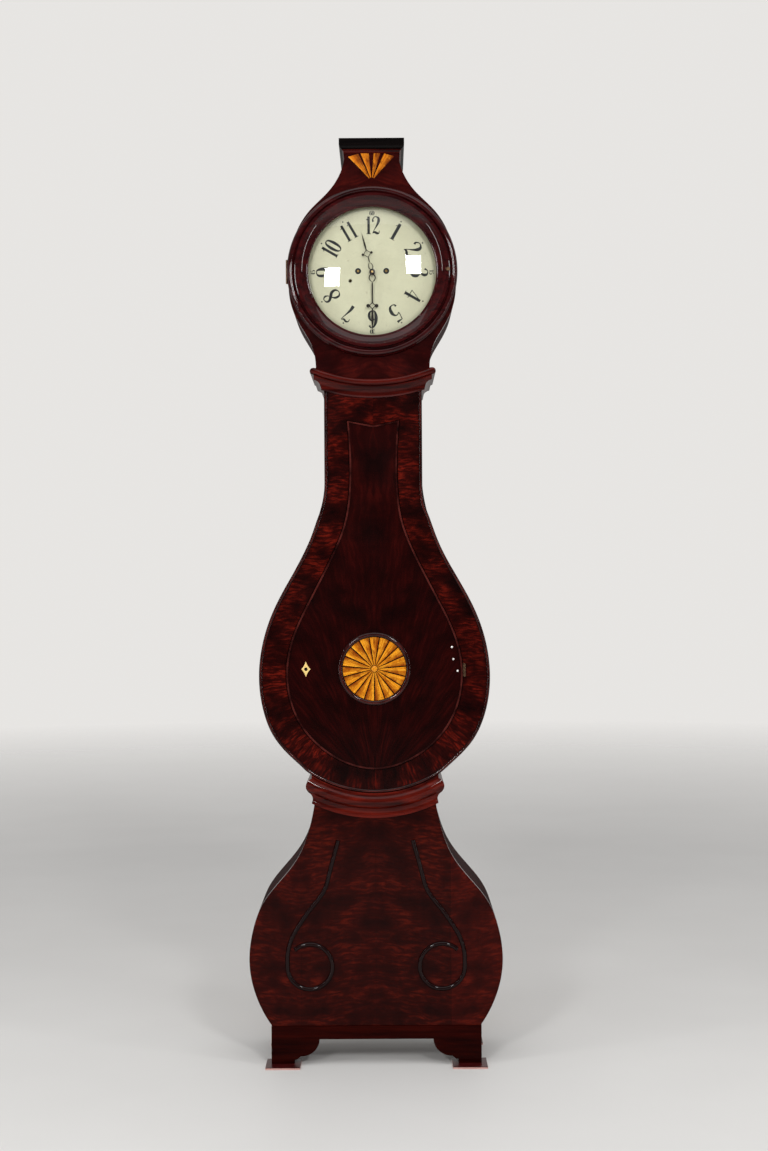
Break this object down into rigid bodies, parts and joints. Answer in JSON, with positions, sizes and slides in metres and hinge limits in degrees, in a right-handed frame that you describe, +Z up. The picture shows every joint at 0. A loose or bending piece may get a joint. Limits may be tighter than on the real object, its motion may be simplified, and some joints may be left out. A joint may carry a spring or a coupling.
{
  "type": "longcase clock",
  "caption": "Tall pear-bodied longcase clock with a curved base, slide-off hood, glazed round dial, hinged trunk door, pendulum and hanging weights.",
  "frame": {"origin": "on the floor, in the middle of the bounding box", "axes": "+Z up, -Y out of the dial and door, +X to the viewer's right"},
  "size_m": [0.5746, 0.264, 2.1],
  "materials": {
    "flame_veneer": "french polished",
    "door_veneer": "french polished",
    "side_veneer": "polished",
    "moulding_wood": "polished",
    "bead_wood": "polished",
    "cap_wood": "polished, darkened",
    "plinth_wood": "polished",
    "foot_wood": "worn polish",
    "pad_wood": "stained, edges raw",
    "inner_wood": "unfinished softwood",
    "inlay_wood": "polished, scorched edges",
    "bezel_wood": "turned and polished",
    "glass": "clear, domed",
    "dial_paint": "aged cream paint",
    "brass": "dull",
    "case_brass": "worn",
    "hand_brass": "darkened",
    "steel": "greyed",
    "iron": "as cast",
    "bell_metal": "turned",
    "cord": "twisted gut"
  },
  "bodies": {
    "case": {"foot_pads": "pad_wood", "feet": "foot_wood", "plinth_frame": "plinth_wood", "base_front_board": "flame_veneer", "base_side_left": "side_veneer", "base_side_right": "side_veneer", "base_backboard": "inner_wood", "scroll_beads": "bead_wood", "saddle_moulding": "moulding_wood", "trunk_front_frame": "flame_veneer", "trunk_edge_bead": "bead_wood", "trunk_side_left": "side_veneer", "trunk_side_right": "side_veneer", "trunk_backboard": "inner_wood", "throat_moulding": "moulding_wood", "seatboard": "inner_wood", "trunk_hinge_leaf": "case_brass", "dial_plate": "dial_paint", "movement_frame": "brass", "pendulum_cock": "brass", "bell": "bell_metal", "line_left": "cord", "line_right": "cord"},
    "hood": {"hood_front_board": "flame_veneer", "hood_side_left": "side_veneer", "hood_side_right": "side_veneer", "cap": "cap_wood", "fan_inlay": "inlay_wood", "hood_base_bead": "moulding_wood", "hood_hinge_leaf": "case_brass"},
    "bezel": {"bezel_ring": "bezel_wood", "bezel_glass": "glass", "bezel_hinge_leaf": "case_brass"},
    "latch": {"bezel_latch": "case_brass"},
    "trunk_door": {"door_panel": "door_veneer", "door_beads": "bead_wood", "medallion_rays": "inlay_wood", "escutcheon": "case_brass", "lock_case": "iron", "door_hinge_leaf": "case_brass"},
    "bolt": {"lock_bolt": "steel"},
    "minute_arbor": {"centre_wheel": "brass", "minute_hand": "hand_brass"},
    "hour_pipe": {"hour_wheel": "brass", "hour_hand": "hand_brass"},
    "minute_work": {"minute_wheel": "brass"},
    "third_arbor": {"third_wheel": "brass"},
    "escape_arbor": {"escape_wheel": "brass"},
    "going_great": {"going_great_wheel": "brass"},
    "going_drum": {"going_barrel": "brass"},
    "strike_great": {"strike_great_wheel": "brass"},
    "strike_drum": {"strike_barrel": "brass"},
    "pin_arbor": {"pin_wheel": "brass"},
    "fly_arbor": {"fly": "steel"},
    "hammer_arm": {"hammer": "steel"},
    "pallets": {"pallet_anchor": "steel"},
    "pendulum": {"pendulum_rod": "steel", "pendulum_bob": "brass"},
    "left_weight": {"weight_left": "iron"},
    "right_weight": {"weight_right": "iron"}
  },
  "joints": [
    {"name": "hood_slide", "type": "slide", "parent": "case", "child": "hood", "axis": [0, -1, 0], "range_m": [0, 0.2]},
    {"name": "bezel_hinge", "type": "hinge", "parent": "hood", "child": "bezel", "pos_m": [-0.1935, -0.1007, 1.79899], "axis": [0, 0, -1], "range_deg": [0, 100]},
    {"name": "bezel_latch_turn", "type": "hinge", "parent": "bezel", "child": "latch", "pos_m": [0.171, -0.098, 1.79899], "axis": [0, -1, 0], "range_deg": [0, 90]},
    {"name": "trunk_door_hinge", "type": "hinge", "parent": "case", "child": "trunk_door", "pos_m": [0.2039, -0.102, 0.89504], "axis": [0, 0, 1], "range_deg": [0, 110]},
    {"name": "lock_bolt_slide", "type": "slide", "parent": "trunk_door", "child": "bolt", "axis": [-1, 0, 0], "range_m": [0, 0.007]},
    {"name": "minute_hand_turn", "type": "hinge", "parent": "case", "child": "minute_arbor", "pos_m": [0, -0.098, 1.79899], "axis": [0, 1, 0], "continuous": true},
    {"name": "hour_hand_turn", "type": "hinge", "parent": "case", "child": "hour_pipe", "pos_m": [0, -0.098, 1.79899], "axis": [0, 1, 0], "continuous": true},
    {"name": "minute_wheel_turn", "type": "hinge", "parent": "case", "child": "minute_work", "pos_m": [0, -0.058, 1.7711], "axis": [0, 1, 0], "continuous": true},
    {"name": "third_wheel_turn", "type": "hinge", "parent": "case", "child": "third_arbor", "pos_m": [0, 0, 1.82413], "axis": [0, 1, 0], "continuous": true},
    {"name": "escape_wheel_turn", "type": "hinge", "parent": "case", "child": "escape_arbor", "pos_m": [0, 0, 1.84638], "axis": [0, 1, 0], "continuous": true},
    {"name": "going_great_turn", "type": "hinge", "parent": "case", "child": "going_great", "pos_m": [0.032, 0, 1.80199], "axis": [0, 1, 0], "continuous": true},
    {"name": "weight_right_slide", "type": "slide", "parent": "case", "child": "right_weight", "axis": [0, 0, 1], "range_m": [0, 1], "deforming": ["line_right"]},
    {"name": "going_drum_turn", "type": "hinge", "parent": "case", "child": "going_drum", "pos_m": [0.032, 0, 1.80199], "axis": [0, 1, 0], "range_deg": [-3600, 0]},
    {"name": "weight_left_slide", "type": "slide", "parent": "case", "child": "left_weight", "axis": [0, 0, 1], "range_m": [0, 1], "deforming": ["line_left"]},
    {"name": "strike_drum_turn", "type": "hinge", "parent": "case", "child": "strike_drum", "pos_m": [-0.032, 0, 1.80199], "axis": [0, 1, 0], "range_deg": [0, 3600]},
    {"name": "strike_great_turn", "type": "hinge", "parent": "case", "child": "strike_great", "pos_m": [-0.032, 0, 1.80199], "axis": [0, 1, 0], "continuous": true},
    {"name": "pin_wheel_turn", "type": "hinge", "parent": "case", "child": "pin_arbor", "pos_m": [-0.04195, 0, 1.82933], "axis": [0, 1, 0], "continuous": true},
    {"name": "fly_turn", "type": "hinge", "parent": "case", "child": "fly_arbor", "pos_m": [-0.03813, 0, 1.85099], "axis": [0, 1, 0], "continuous": true},
    {"name": "hammer_swing", "type": "hinge", "parent": "case", "child": "hammer_arm", "pos_m": [-0.0609, 0, 1.85499], "axis": [0, -1, 0], "range_deg": [0, 10], "stiffness_Nm_per_rad": 0.05, "springref_deg": -5.73},
    {"name": "pendulum_swing", "type": "hinge", "parent": "case", "child": "pendulum", "pos_m": [0, 0.0585, 1.87599], "axis": [0, 1, 0], "range_deg": [-3, 3]},
    {"name": "pallet_swing", "type": "hinge", "parent": "case", "child": "pallets", "pos_m": [0, 0, 1.87599], "axis": [0, 1, 0], "range_deg": [-3, 3]}
  ],
  "couplings": [
    {"joint": "hour_hand_turn", "follows": "minute_hand_turn", "ratio": 0.083333},
    {"joint": "minute_wheel_turn", "follows": "minute_hand_turn", "ratio": -1},
    {"joint": "third_wheel_turn", "follows": "minute_hand_turn", "ratio": -8},
    {"joint": "escape_wheel_turn", "follows": "minute_hand_turn", "ratio": 60},
    {"joint": "going_great_turn", "follows": "minute_hand_turn", "ratio": -0.1},
    {"joint": "going_drum_turn", "follows": "weight_right_slide", "rad_per_m": -62.5},
    {"joint": "strike_drum_turn", "follows": "weight_left_slide", "rad_per_m": 62.5},
    {"joint": "pin_wheel_turn", "follows": "strike_great_turn", "ratio": -9},
    {"joint": "fly_turn", "follows": "strike_great_turn", "ratio": 72},
    {"joint": "pallet_swing", "follows": "pendulum_swing", "ratio": 1}
  ]
}
